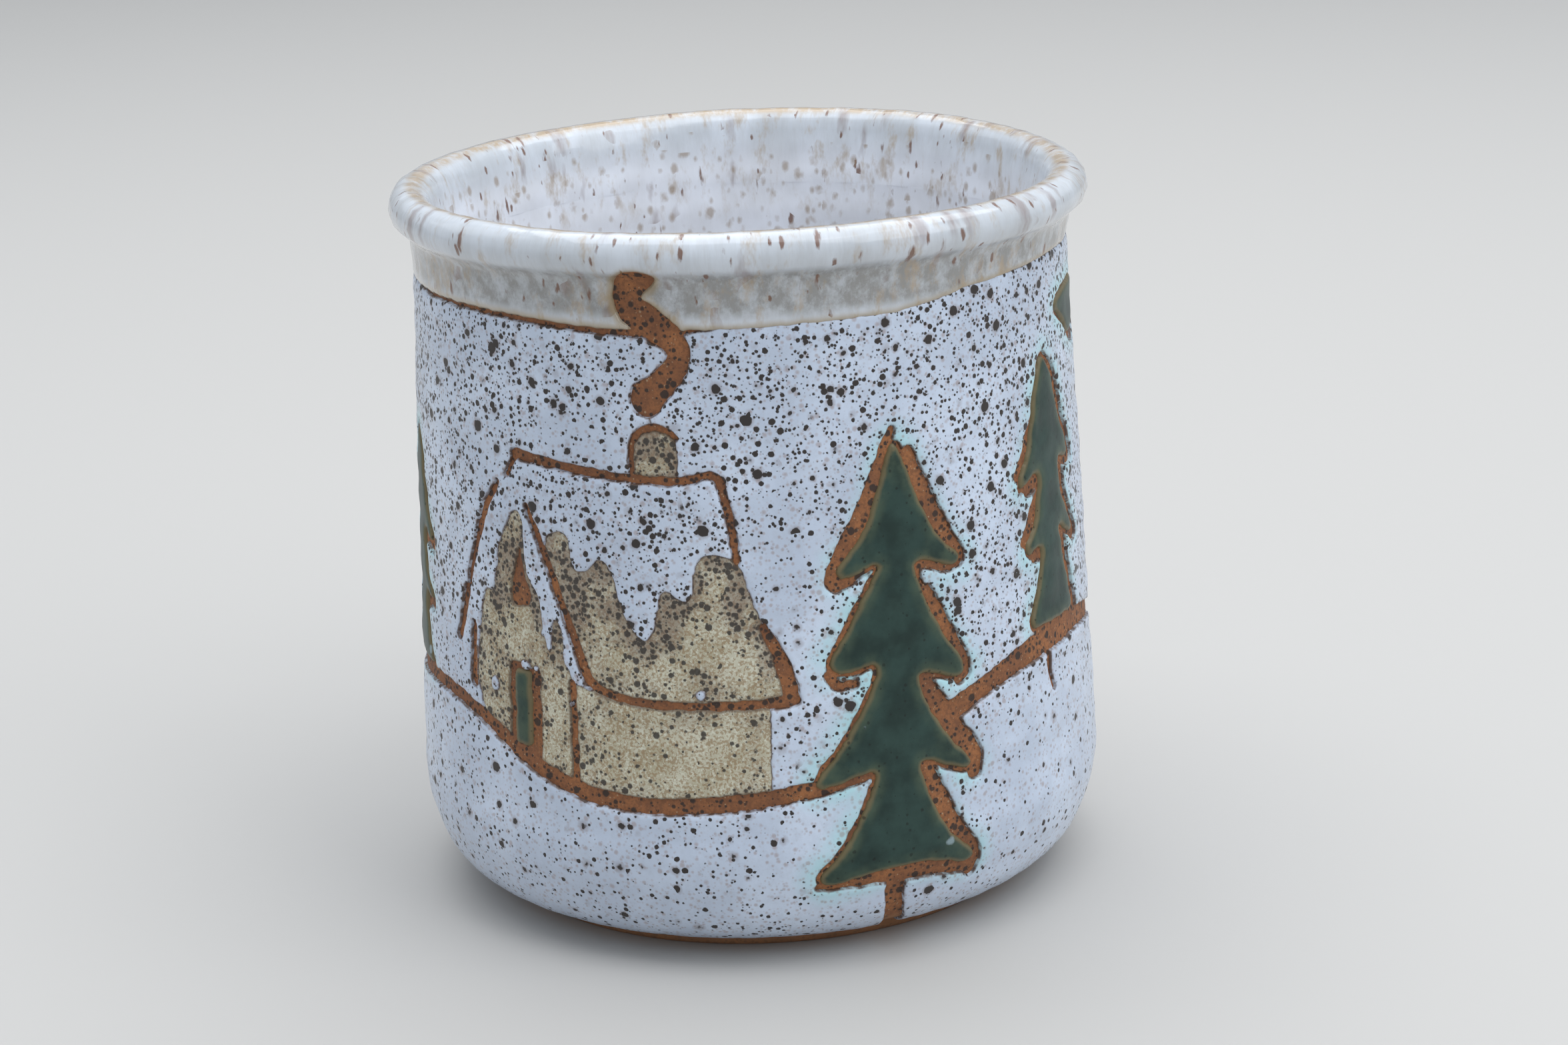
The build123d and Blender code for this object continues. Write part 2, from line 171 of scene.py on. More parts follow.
STROKES = [
    ([(-15.2, 65.4), (-15.2, 70.2), (-13.5, 71.8), (-10.9, 71.8), (-9.2, 70.6)],
     [0.5, 0.6, 0.8, 0.8, 0.5]),
    ([(-33, 66.9), (-27, 66.3), (-20, 65.6), (-9, 64.9), (-5.2, 65.9)], [1.3, 1.1, 0.9, 0.9, 0.9]),
    ([(-5.2, 65.9), (-3.9, 65.4), (-2.9, 61), (-2.1, 55)], [0.9, 0.8, 0.9, 0.7]),
    ([(-33, 66.6), (-34.6, 64)], 0.7),
    ([(-36.4, 62.8), (-39.7, 58), (-42.2, 51.6), (-43.4, 47.6)], [0.6, 1.3, 0.9, 0.8]),
    ([(-43.8, 47), (-46.2, 40.4)], [1.4, 1.1]),
    ([(3.6, 36.5), (-6, 36.2), (-14, 36.2), (-20, 37.1), (-22.4, 38.8)], [1.3, 0.9, 1.0, 1.0, 1.2]),
    ([(-22.4, 38.8), (-26.2, 49), (-29, 56), (-31.2, 60.4)], [1.3, 0.8, 1.0, 0.5]),
    ([(0.9, 46.4), (3.1, 41.6), (4.1, 36.9)], [0.9, 1.8, 1.9]),
    ([(-42.6, 42.6), (-42.7, 35)], [1.0, 1.3]),
    ([(-24.7, 38), (-24.6, 25)], [0.8, 0.9]),
    ([(44.7, 36), (44.6, 32.6), (45.6, 29.8)], [1.2, 0.8, 0.5]),
    ([(16.9, 12.5), (16.5, 7.6), (19, 1.4)], [2.7, 2.2, 3.2]),
]
# Bare edges of the front fir and, in the last two, of the right one, wider than the thin line
FIR_EDGES = [
    ([(18.6, 69.8), (17.2, 66.6), (14.6, 60.6), (10.4, 54), (9.4, 50.6), (12.4, 51.3)],
     [1.0, 1.5, 1.8, 1.7, 1.7, 1.0]),
    ([(20.9, 67), (22.9, 61.4), (26, 55.4), (28.6, 51.8), (26.4, 50.6), (22.4, 51.8)],
     [1.0, 1.7, 1.5, 1.2, 1.0, 0.6]),
    ([(14, 49.4), (12.2, 47), (10.6, 44)], [0.9, 0.8, 0.5]),
    ([(8.9, 39.4), (9.7, 38), (12, 38)], [1.2, 1.3, 0.9]),
    ([(22.6, 49), (25.4, 43.4), (28, 38.6), (28.2, 36.4), (26.6, 35.8)], [0.9, 1.5, 1.2, 1.1, 0.8]),
    ([(6.6, 24.3), (10, 24.9), (15.4, 27.6)], [1.0, 1.0, 0.7]),
    ([(21.2, 37.4), (22.8, 34.4), (25.6, 29.6), (28.9, 26.2), (28.6, 23.4)], [1.4, 2.8, 2.8, 2.2, 2.2]),
    ([(21, 26.4), (22.6, 22.4), (25.6, 16.2), (28.8, 12.4), (28, 9.8)], [1.2, 2.2, 1.8, 1.4, 2.0]),
    ([(6.4, 11.6), (14, 11.7), (22, 11.6), (28.2, 10.2)], [1.0, 1.4, 1.8, 1.8]),
    ([(45, 69), (42.2, 63.6), (39.4, 59.6)], [0.8, 1.3, 1.2]),
    ([(44, 56.6), (42, 53.6), (40, 50.8)], [0.7, 1.3, 1.1]),
]
# Where the white glaze has few specks: middle (s, z), and how far it reaches both ways
CALM = [(4, 48, 7, 17), (-22, 69.5, 8, 3), (42, 18, 14, 14), (8, 14, 9, 8)]
# Drops of white glaze that fell on the cottage: middle, and radius
DROPS = [
    (-32.4, 39.3, 0.7), (-30.2, 39.1, 0.5), (-28.7, 44.2, 0.6), (-24.9, 35.2, 0.45), (-7.4, 37.9, 0.7),
    (-38.2, 35.6, 1.0), (-27.9, 46.6, 0.7), (-24.7, 37, 0.5),
]


# --- Profile ---


def arc(centre, radius, first, last, steps=40):
    """Points on an arc between two angles in degrees."""
    turn = np.radians(np.linspace(first, last, steps + 1))
    return [(centre[0] + radius * cos(a), centre[1] + radius * sin(a)) for a in turn]


def tangent_arc(start, way, end):
    """Arc that leaves start along the unit vector way and ends at end."""
    side = (way[1], -way[0])
    across = (end[0] - start[0], end[1] - start[1])
    radius = hypot(*across) ** 2 / 2 / (side[0] * across[0] + side[1] * across[1])
    centre = (start[0] + radius * side[0], start[1] + radius * side[1])
    first = degrees(atan2(start[1] - centre[1], start[0] - centre[0]))
    last = degrees(atan2(end[1] - centre[1], end[0] - centre[0]))
    last = first + (last - first + 180) % 360 - 180
    return arc(centre, hypot(start[0] - centre[0], start[1] - centre[1]), first, last)


def towards(start, end):
    """Unit vector from one point to another."""
    length = hypot(end[0] - start[0], end[1] - start[1])
    return ((end[0] - start[0]) / length, (end[1] - start[1]) / length)


def belly():
    """Points down from the top of the belly to where it meets the foot."""
    way = towards(NECK_FOOT, BELLY_TOP)
    points, heading = [BELLY_TOP], degrees(atan2(way[1], way[0]))
    for radius, turn in (BELLY_SWEEP, BELLY_ROUND):
        out = radians(heading - 90)
        centre = (points[-1][0] + radius * cos(out), points[-1][1] + radius * sin(out))
        points += arc(centre, radius, heading + 90, heading + 90 - turn)[1:]
        heading -= turn
    return points


def clay_profile():
    """The whole profile of the clay as points 0.1 mm apart."""
    lip = arc(LIP_CENTRE, LIP_ROLL, -40, 170)
    neck = tangent_arc(NECK_FOOT, towards(BELLY_TOP, NECK_FOOT), lip[0])
    inside_foot = (42.0, FLOOR_TOP)
    flare = tangent_arc(FLARE_FOOT, towards(inside_foot, FLARE_FOOT), lip[-1])
    down = towards(FLARE_FOOT, inside_foot)
    turn = degrees(atan2(-down[1], -down[0]))
    cut = FLOOR_ROUND * tan(radians(turn / 2))
    corner = arc((inside_foot[0] - cut, FLOOR_TOP + FLOOR_ROUND), FLOOR_ROUND, turn - 90, -90)
    points = FOOT + belly()[::-1] + neck + lip[1:] + flare[::-1][1:] + corner + [(0, FLOOR_TOP)]
    points = np.array(points)
    length = np.append(0, np.cumsum(np.hypot(*np.diff(points, axis=0).T)))
    even = np.arange(0, length[-1], 0.1)
    return np.stack([np.interp(even, length, points[:, 0]), np.interp(even, length, points[:, 1])])


PROFILE = clay_profile()
T_ALL = np.arange(PROFILE.shape[1]) * 0.1
WAY = np.gradient(PROFILE, 0.1, axis=1)
WAY /= np.hypot(*WAY)
T_LIP = T_ALL[np.argmax(PROFILE[1])]
OUTSIDE = (T_ALL <= T_LIP) & (T_ALL > 36.5)
T_FOOT_EDGE = float(T_ALL[np.argmax(PROFILE[0] > 35.9)])
T_GLAZE = float(T_ALL[OUTSIDE & (PROFILE[0] >= GLAZE_START)][0])
T_MEET = float(T_ALL[(T_ALL > T_LIP) & (PROFILE[1] < LINER_TOP)][0])


def up(z):
    """Distance along the profile of a height on the outside."""
    return np.interp(z, PROFILE[1][OUTSIDE], T_ALL[OUTSIDE])


def waves(a, b, size, seed, count=7):
    """Smooth unevenness between about -1 and 1 with a given wavelength, closed round the mug."""
    dice = np.random.default_rng(seed)
    total = np.zeros(np.broadcast(a, b).shape)
    for _ in range(count):
        turn, phase = dice.uniform(0, pi), dice.uniform(0, 2 * pi)
        round_it = round(2 * HALF / size * cos(turn))
        total += np.sin(round_it * a / WALL_RADIUS + 2 * pi / size * sin(turn) * b + phase)
    return total / count**0.5 / 1.4


def swelling(z, size, middle, reach):
    """A smooth swelling round a middle height."""
    return size * np.exp(-(((z - middle) / reach) ** 2))


def place(s, t, h):
    """Points at height h above the clay, in metres, with the unevenness of hand throwing."""
    s, t, h = np.broadcast_arrays(np.asarray(s, float), np.asarray(t, float), np.asarray(h, float))
    r, z = np.interp(t, T_ALL, PROFILE[0]), np.interp(t, T_ALL, PROFILE[1])
    way_r, way_z = np.interp(t, T_ALL, WAY[0]), np.interp(t, T_ALL, WAY[1])
    free = np.clip((z - 3) / 8, 0, 1) * np.clip(r / 20, 0, 1)
    rings = 0.05 * np.sin(t * 1.35 + s / WALL_RADIUS) + 0.04 * np.sin(t * 0.57 + 1.1)
    h = h + free * (rings + 0.07 * waves(s, t, 30, 3))
    turn = s / WALL_RADIUS
    high = np.clip((z - 60) / 36, 0, 1) ** 2
    roll = swelling(z, *LIP_BULGE) - swelling(z, *LIP_CREASE)
    h = h + np.where(t < T_LIP, roll, 0)
    r = r + way_z * h + high * 0.16 * np.sin(2 * turn + 0.6)
    z = z - way_r * h + high * (0.22 * np.sin(2 * turn + 2.1) + 0.1 * np.sin(3 * turn))
    return np.stack([r * np.sin(turn), -r * np.cos(turn), z], -1) * MM


# --- Distance fields ---

S_AXIS = np.linspace(-HALF, HALF, round(2 * HALF / CELL) + 1)
T_AXIS = np.arange(T_GLAZE - 1, T_MEET + 3 * CELL, CELL)
GRID_S, GRID_T = np.meshgrid(S_AXIS, T_AXIS)
STEP_S = S_AXIS[1] - S_AXIS[0]


def rounded(points, closed, widths=None, times=3, limit=50.0):
    """Cuts a line's corners, by no more than a limit, until it is a smooth curve."""
    line = np.array(points, float)
    if widths is not None:
        line = np.column_stack([line, np.broadcast_to(widths, len(line))])
    for step in range(times):
        ends = np.roll(line, -1, axis=0) if closed else line[1:]
        starts = line if closed else line[:-1]
        length = np.hypot(*(ends - starts)[:, :2].T)[:, None]
        cut = np.minimum(0.23, limit * 0.45**step / length)
        inner = np.stack([starts * (1 - cut) + ends * cut, starts * cut + ends * (1 - cut)], 1)
        inner = inner.reshape(-1, line.shape[1])
        line = inner if closed else np.vstack([line[:1], inner, line[-1:]])
    return line


def window(line):
    """Slices of the grid that a line can reach."""
    low, high = line[:, :2].min(0) - REACH, line[:, :2].max(0) + REACH
    rows = slice(*np.searchsorted(T_AXIS, [low[1], high[1]]))
    columns = slice(*np.searchsorted(S_AXIS, [low[0], high[0]]))
    return rows, columns


def segments_distance(line, closed):
    """Distance to a line with widths less half its width, and whether a point is inside it."""
    rows, columns = window(line)
    s, t = GRID_S[rows, columns], GRID_T[rows, columns]
    nearest, inside = np.full(s.shape, REACH), np.zeros(s.shape, bool)
    for a, b in zip(line, np.roll(line, -1, axis=0) if closed else line[1:]):
        ds, dt = b[0] - a[0], b[1] - a[1]
        along = np.clip(((s - a[0]) * ds + (t - a[1]) * dt) / (ds * ds + dt * dt + 1e-9), 0, 1)
        away = np.hypot(s - a[0] - along * ds, t - a[1] - along * dt)
        nearest = np.minimum(nearest, away - (a[2] + (b[2] - a[2]) * along) / 2)
        if closed and dt:
            crosses = ((a[1] > t) != (b[1] > t)) & (s < a[0] + ds * (t - a[1]) / dt)
            inside ^= crosses
    return (rows, columns), nearest, inside


def away_from(shapes, closed):
    """Field of the distance to the nearest shape, below zero inside the shapes."""
    field = np.full(GRID_S.shape, REACH)
    for line in shapes:
        line = line.copy()
        line[:, 1] = up(line[:, 1])
        where, nearest, inside = segments_distance(line, closed)
        if closed:
            nearest = np.where(inside, -nearest, nearest)
        field[where] = np.minimum(field[where], nearest)
    return field


def outlines(*shapes, limit=1.5):
    """Field of the distance to filled outlines, whose corners are cut by up to a limit."""
    return away_from([rounded(shape, True, 0.0, 3, limit) for shape in shapes], True)


def strokes(*lines):
    """Field of the distance to lines drawn with a width."""
    return away_from([rounded(points, False, widths) for points, widths in lines], False)


def small_fir(trunk, foot, size, way):
    """The small fir's outline at its place on the wall."""
    return [(trunk + way * size * x, foot + size * z) for x, z in SMALL_FIR]


def moved(outline):
    """The same outline moved to the shaded side."""
    return [(s + SHADE[0], z + SHADE[1]) for s, z in outline]


hand = 0.11 * waves(GRID_S, GRID_T, 3.4, 11) + 0.07 * waves(GRID_S, GRID_T, 1.5, 12)
other_hand = 0.1 * waves(GRID_S, GRID_T, 2.8, 21) + 0.06 * waves(GRID_S, GRID_T, 1.3, 22)
band_edge = up(np.interp(GRID_S, *zip(*RIM_EDGE)))
band_gap = np.interp(GRID_S, *zip(*RIM_GAP))

firs = {"fir_front_glaze": FIR_FRONT, "fir_bough_glaze": FIR_BOUGH}
for name, trunk, foot, size, way in SMALL_FIRS:
    firs[name] = small_fir(trunk, foot, size, way)
small_outlines = [outline for name, outline in firs.items() if name != "fir_front_glaze"]
fir_fields = {name: outlines(outline) for name, outline in firs.items()}
from_green = np.minimum.reduce(list(fir_fields.values()))

smoke = strokes((SMOKE, SMOKE_WIDTHS))
lines = np.minimum(strokes((HILL, HILL_WIDTHS)), strokes(*STROKES))
frames = outlines(GABLE_WINDOW, DOOR_FRAME, limit=0.5)
bare = np.minimum.reduce([
    smoke,
    lines,
    strokes(*FIR_EDGES),
    fir_fields["fir_front_glaze"] - 0.4,
    outlines(*small_outlines, *[moved(outline) for outline in small_outlines]) - 0.45,
    frames,
]) + hand
ochres = {
    "roof_glaze": outlines(ROOF, limit=1.0),
    "long_wall_glaze": outlines(LONG_WALL, limit=0.4),
    "gable_wall_glaze": outlines(GABLE_WALL, limit=0.8),
    "chimney_glaze": outlines(CHIMNEY, limit=0.6),
}
from_ochre = np.minimum.reduce(list(ochres.values())) + other_hand
drops = np.full(GRID_S.shape, -REACH)
for s, z, radius in DROPS:
    away = np.hypot((GRID_S - s) * (1 + 0.3 * sin(7 * s)), GRID_T - up(z))
    drops = np.maximum(drops, radius - away + 2 * hand)

white = np.minimum.reduce([
    GRID_T - T_GLAZE + 0.5 * hand,
    band_edge - band_gap - GRID_T + hand,
    bare,
    from_ochre,
])
white = np.maximum(white, drops)
rim = np.minimum(GRID_T - band_edge + 0.7 * other_hand, smoke + hand)
door = -outlines(DOOR, limit=0.4) + other_hand
ochre_lines = np.minimum(np.minimum(lines, frames) + hand, -drops + 0.3)


# --- Meshes ---

CORNERS = {1: "LB", 2: "BR", 3: "LR", 4: "RT", 6: "BT", 7: "LT", 8: "LT", 9: "BT", 11: "RT"}
CORNERS |= {12: "LR", 13: "BR", 14: "LB", 5: "LBRT", 10: "BRLT"}


def chains(field, level):
    """Lines along which the field has a value, as arrays of (s, t), and whether each closes."""
    over = field > level
    kind = over[:-1, :-1] + 2 * over[:-1, 1:] + 4 * over[1:, 1:] + 8 * over[1:, :-1]
    wide, tall = field.shape[1], field.shape[0]
    links = {}
    for value, sides in CORNERS.items():
        rows, columns = np.nonzero(kind == value)
        base = rows * wide + columns
        edge = {"B": base, "T": base + wide, "L": base + wide * tall, "R": base + wide * tall + 1}
        for first, last in (sides[:2], sides[2:]) if len(sides) > 2 else (sides,):
            for a, b in zip(edge[first].tolist(), edge[last].tolist()):
                links.setdefault(a, []).append(b)
                links.setdefault(b, []).append(a)
    found = []
    starts = [a for a, others in links.items() if len(others) == 1] + list(links)
    for start in starts:
        if not links.get(start):
            continue
        run, here = [start], start
        while links[here]:
            after = links[here].pop()
            links[after].remove(here)
            run.append(after)
            here = after
        found.append(run)
    flat = field.ravel()
    lines = []
    for run in found:
        ids = np.array(run)
        upright = ids >= wide * tall
        low = np.where(upright, ids - wide * tall, ids)
        high = low + np.where(upright, wide, 1)
        part = (level - flat[low]) / (flat[high] - flat[low])
        s = S_AXIS[low % wide] + np.where(upright, 0, part * STEP_S)
        t = T_AXIS[low // wide] + np.where(upright, part * CELL, 0)
        lines.append((np.stack([s, t], 1), run[0] == run[-1]))
    return lines


def even(line, spacing):
    """The same line with evenly spaced points."""
    length = np.append(0, np.cumsum(np.hypot(*np.diff(line, axis=0).T)))
    count = max(int(round(length[-1] / spacing)), 3)
    at = np.linspace(0, length[-1], count + 1)
    return np.stack([np.interp(at, length, line[:, 0]), np.interp(at, length, line[:, 1])], 1)


def look_up(field, s, t):
    """Field between the grid's points."""
    x = np.clip((s - S_AXIS[0]) / STEP_S, 0, len(S_AXIS) - 1.001)
    y = np.clip((t - T_AXIS[0]) / CELL, 0, len(T_AXIS) - 1.001)
    i, j = x.astype(int), y.astype(int)
    u, v = x - i, y - j
    lower = field[j, i] * (1 - u) + field[j, i + 1] * u
    upper = field[j + 1, i] * (1 - u) + field[j + 1, i + 1] * u
    return lower * (1 - v) + upper * v


def triangulated(field, top=None):
    """Triangles that fill the field where it is above zero: points (s, t), depths, triangles.

    The line t = top, where given, cuts the field off, and so does the seam behind the handle.
    """
    points, depths, edges = [], [], []

    def put(line, depth, joined):
        first = len(points)
        points.extend(map(tuple, line))
        depths.extend([depth] * len(line) if np.isscalar(depth) else depth)
        if joined:
            edges.extend((first + k, first + k + 1) for k in range(len(line) - 1))

    below = T_AXIS[-1] + 1 if top is None else top
    for depth, spacing in INSETS:
        for line, closes in chains(field, depth):
            length = np.hypot(*np.diff(line, axis=0).T).sum()
            if length < (SHORTEST_LOOP if depth == 0 else SHORTEST_INSET):
                continue
            line = even(line, spacing)
            line = line[line[:, 1] <= below]
            if closes:
                first = len(points)
                put(line[:-1], depth, depth == 0)
                if depth == 0:
                    edges.append((len(points) - 1, first))
            else:
                put(line, depth, depth == 0)
    rows = np.arange(T_AXIS[0] + 0.4, min(below, T_AXIS[-1]) - 0.3, INNER_SPACING * 0.87)
    for k, row in enumerate(rows):
        columns = np.arange(-HALF + 0.5 + (k % 2) * INNER_SPACING / 2, HALF - 0.4, INNER_SPACING)
        deep = look_up(field, columns, np.full(columns.shape, row))
        keep = deep > INSETS[-1][0] + 0.45
        put(np.stack([columns[keep], np.full(keep.sum(), row)], 1), deep[keep].tolist(), False)
    seam = np.arange(T_AXIS[0] + 0.35, min(below, T_AXIS[-1]) + 1e-6, 0.8)
    deep = look_up(field, np.full(seam.shape, -HALF), seam)
    seam, deep = seam[deep > 0.25], deep[deep > 0.25]
    if top is not None:
        seam, deep = np.append(seam, top), np.append(deep, REACH)
    for side in (-HALF, HALF):
        put(np.stack([np.full(len(seam), side), seam], 1), deep.tolist(), False)
    if top is not None:
        s = np.linspace(-HALF, HALF, LINER_SEGMENTS + 1)
        put(np.stack([s, np.full(len(s), top)], 1)[1:-1], REACH, False)
    flat = [Vector(point) for point in points]
    new, _, faces, source, _, _ = geometry.delaunay_2d_cdt(flat, edges, [], 0, 1e-4)
    at = np.array([tuple(point) for point in new])
    deep = np.array([min((depths[k] for k in ids), default=np.nan) for ids in source])
    lost = np.isnan(deep)
    deep[lost] = np.maximum(look_up(field, at[lost, 0], at[lost, 1]), 0)
    faces = np.array(faces)
    middle = at[faces].mean(1)
    a, b, c = at[faces].transpose(1, 0, 2)
    area = (b[:, 0] - a[:, 0]) * (c[:, 1] - a[:, 1]) - (b[:, 1] - a[:, 1]) * (c[:, 0] - a[:, 0])
    keep = look_up(field, middle[:, 0], middle[:, 1]) > 0
    keep &= (middle[:, 1] <= below) & (np.abs(area) > 1e-5) & ~(deep[faces] == 0).all(1)
    faces = np.where(area[:, None] < 0, faces[:, ::-1], faces)[keep]
    right = np.nonzero(at[:, 0] > HALF - 1e-6)[0]
    weld = np.arange(len(at))
    for k in np.nonzero(at[:, 0] < -HALF + 1e-6)[0]:
        gap = np.abs(at[right, 1] - at[k, 1])
        if len(gap) and gap.min() < 0.05:
            weld[right[np.argmin(gap)]] = k
    faces = weld[faces]
    return at, deep, faces


def islands(faces):
    """Groups of triangles that hang together."""
    parent = {}

    def root(k):
        while parent.setdefault(k, k) != k:
            parent[k] = parent[parent[k]]
            k = parent[k]
        return k

    for a, b, c in faces.tolist():
        parent[root(a)] = root(b)
        parent[root(c)] = root(b)
    group = np.array([root(k) for k in faces[:, 0].tolist()])
    return [faces[group == value] for value in np.unique(group)]


def height(depth, coat):
    """Height of a coat above the clay at a distance from its edge."""
    full, bead = coat
    inward = np.clip(depth / bead, 0, 1)
    return -SUNK + (full + SUNK) * np.sqrt(1 - (1 - inward) ** 2)


def unrolled(s, t):
    """Place round the mug and along the profile, so that streaks run down the wall."""
    turn, r = s / WALL_RADIUS, np.minimum(np.interp(t, T_ALL, PROFILE[0]) / 39, 1) * WALL_RADIUS
    return np.stack([r * np.sin(turn), -r * np.cos(turn), t + 0 * s], -1) * MM


def calm(s, t):
    """How free of specks the white glaze is, from 0 to 1."""
    z = np.interp(t, T_ALL, PROFILE[1])
    spots = [np.exp(-(((s - x) / across) ** 4) - ((z - y) / tall) ** 4) for x, y, across, tall in CALM]
    return np.maximum.reduce(spots)


def mesh_object(name, points, faces, material, attributes=(), sharp=50):
    """A smooth-shaded mesh that rides on the mug's body."""
    mesh = bpy.data.meshes.new(name)
    mesh.from_pydata(points.tolist(), [], [list(face) for face in faces])
    mesh.validate()
    for key, values in dict(attributes).items():
        kind, field = ("FLOAT_VECTOR", "vector") if values.ndim == 2 else ("FLOAT", "value")
        mesh.attributes.new(key, kind, "POINT").data.foreach_set(field, values.ravel())
    mesh.shade_smooth()
    mesh.set_sharp_from_angle(angle=radians(sharp))
    mesh.materials.append(material)
    thing = bpy.data.objects.new(name, mesh)
    bpy.context.scene.collection.objects.link(thing)
    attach(thing, "root")
    return thing


def coat_object(name, triangles, coat, material, replaced):
    """Closes a triangulated field into a thin coat with a rounded edge."""
    at, deep, faces = triangles
    used, faces = np.unique(faces, return_inverse=True)
    faces = faces.reshape(-1, 3)
    at, deep = at[used], deep[used]
    rise = height(deep, coat)
    thick = np.clip(deep / 2, 0, 1) * 0.05 * waves(at[:, 0], at[:, 1], 5, 31)
    outer = place(at[:, 0], at[:, 1], rise + thick)
    sides = np.concatenate([faces[:, [0, 1]], faces[:, [1, 2]], faces[:, [2, 0]]])
    pairs, uses = np.unique(np.sort(sides, axis=1), axis=0, return_counts=True)
    pinched = pairs[(uses == 2) & (deep[pairs] == 0).all(1), 0]
    doubled = deep > 0
    doubled[pinched] = True
    inner_ids = np.nonzero(doubled)[0]
    twin = np.arange(len(at))
    twin[inner_ids] = len(at) + np.arange(len(inner_ids))
    below = -SUNK - 0.02 * (deep[inner_ids] == 0)
    inner = place(at[inner_ids, 0], at[inner_ids, 1], below)
    open_sides = {}
    for a, b in sides.tolist():
        if not open_sides.pop((b, a), None):
            open_sides[(a, b)] = True
    walls = []
    for a, b in open_sides:
        ring = [b, a, twin[a], twin[b]]
        ring = [k for n, k in enumerate(ring) if k not in ring[:n]]
        if len(ring) > 2:
            walls.append([int(k) for k in ring])
    both = np.concatenate([faces, twin[faces][:, ::-1]]).tolist() + walls
    s = np.concatenate([at[:, 0], at[inner_ids, 0]])
    t = np.concatenate([at[:, 1], at[inner_ids, 1]])
    attributes = {
        "edge": np.concatenate([deep, deep[inner_ids]]),
        "halo": look_up(from_green, s, t),
        "drip": look_up(white, s, t),
        "along": t - T_LIP,
        "unrolled": unrolled(s, t),
        "calm": calm(s, t),
    }
    thing = mesh_object(name, np.concatenate([outer, inner]), both, material, attributes)
    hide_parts(replaced)
    return thing


# --- Materials ---

# Colours, linear; the pairs in the plural are clouds of a darker and a lighter one
WHITES = (0.49, 0.56, 0.675), (0.61, 0.69, 0.815)
WHITE_GREY = (0.42, 0.46, 0.53)
TURQUOISE = (0.42, 0.67, 0.72)
IRON, IRON_SOFT = (0.020, 0.013, 0.010), (0.16, 0.085, 0.05)
IRON_UNDER, IRON_EDGE = (0.30, 0.19, 0.15), (0.085, 0.042, 0.025)
CREAMS = (0.53, 0.56, 0.59), (0.63, 0.67, 0.72)
INSIDE_CREAMS = (0.70, 0.71, 0.74), (0.80, 0.82, 0.87)
# The second colour on the next line is painted shade under the lip roll; the first and the third are
# the glaze's own colours
STREAK, UNDER_LIP_SHADE, STAIN = (0.33, 0.30, 0.27), (0.27, 0.265, 0.25), (0.42, 0.32, 0.21)
TAN, TAWNY, YELLOW_EDGE = (0.43, 0.33, 0.22), (0.29, 0.19, 0.10), (0.37, 0.27, 0.13)
RUST = (0.16, 0.065, 0.03)
GREENS = (0.010, 0.028, 0.023), (0.025, 0.057, 0.047)
OLIVE, GREEN_EDGE = (0.065, 0.095, 0.06), (0.19, 0.145, 0.07)
PALE_FLECK, GREEN_BLACK = (0.36, 0.46, 0.50), (0.006, 0.009, 0.007)
SANDS = (0.43, 0.385, 0.265), (0.61, 0.59, 0.46)
SAND_BROWN, SAND_PALE = (0.27, 0.165, 0.07), (0.72, 0.72, 0.60)
SAND_DUSK, SAND_IRON, SAND_EDGE = (0.18, 0.12, 0.09), (0.028, 0.022, 0.018), (0.10, 0.06, 0.035)
CLAYS = (0.21, 0.080, 0.031), (0.35, 0.135, 0.045)
CLAY_DARK, CLAY_PALE = (0.11, 0.045, 0.022), (0.45, 0.33, 0.20)
CLAY_IRON, CLAY_FOOT = (0.022, 0.016, 0.013), (0.36, 0.18, 0.085)

WOBBLE_SCALE = 3.2  # bends of a speck's outline per cell
MOSTLY_SMALL = 2.2  # power that makes large specks rare


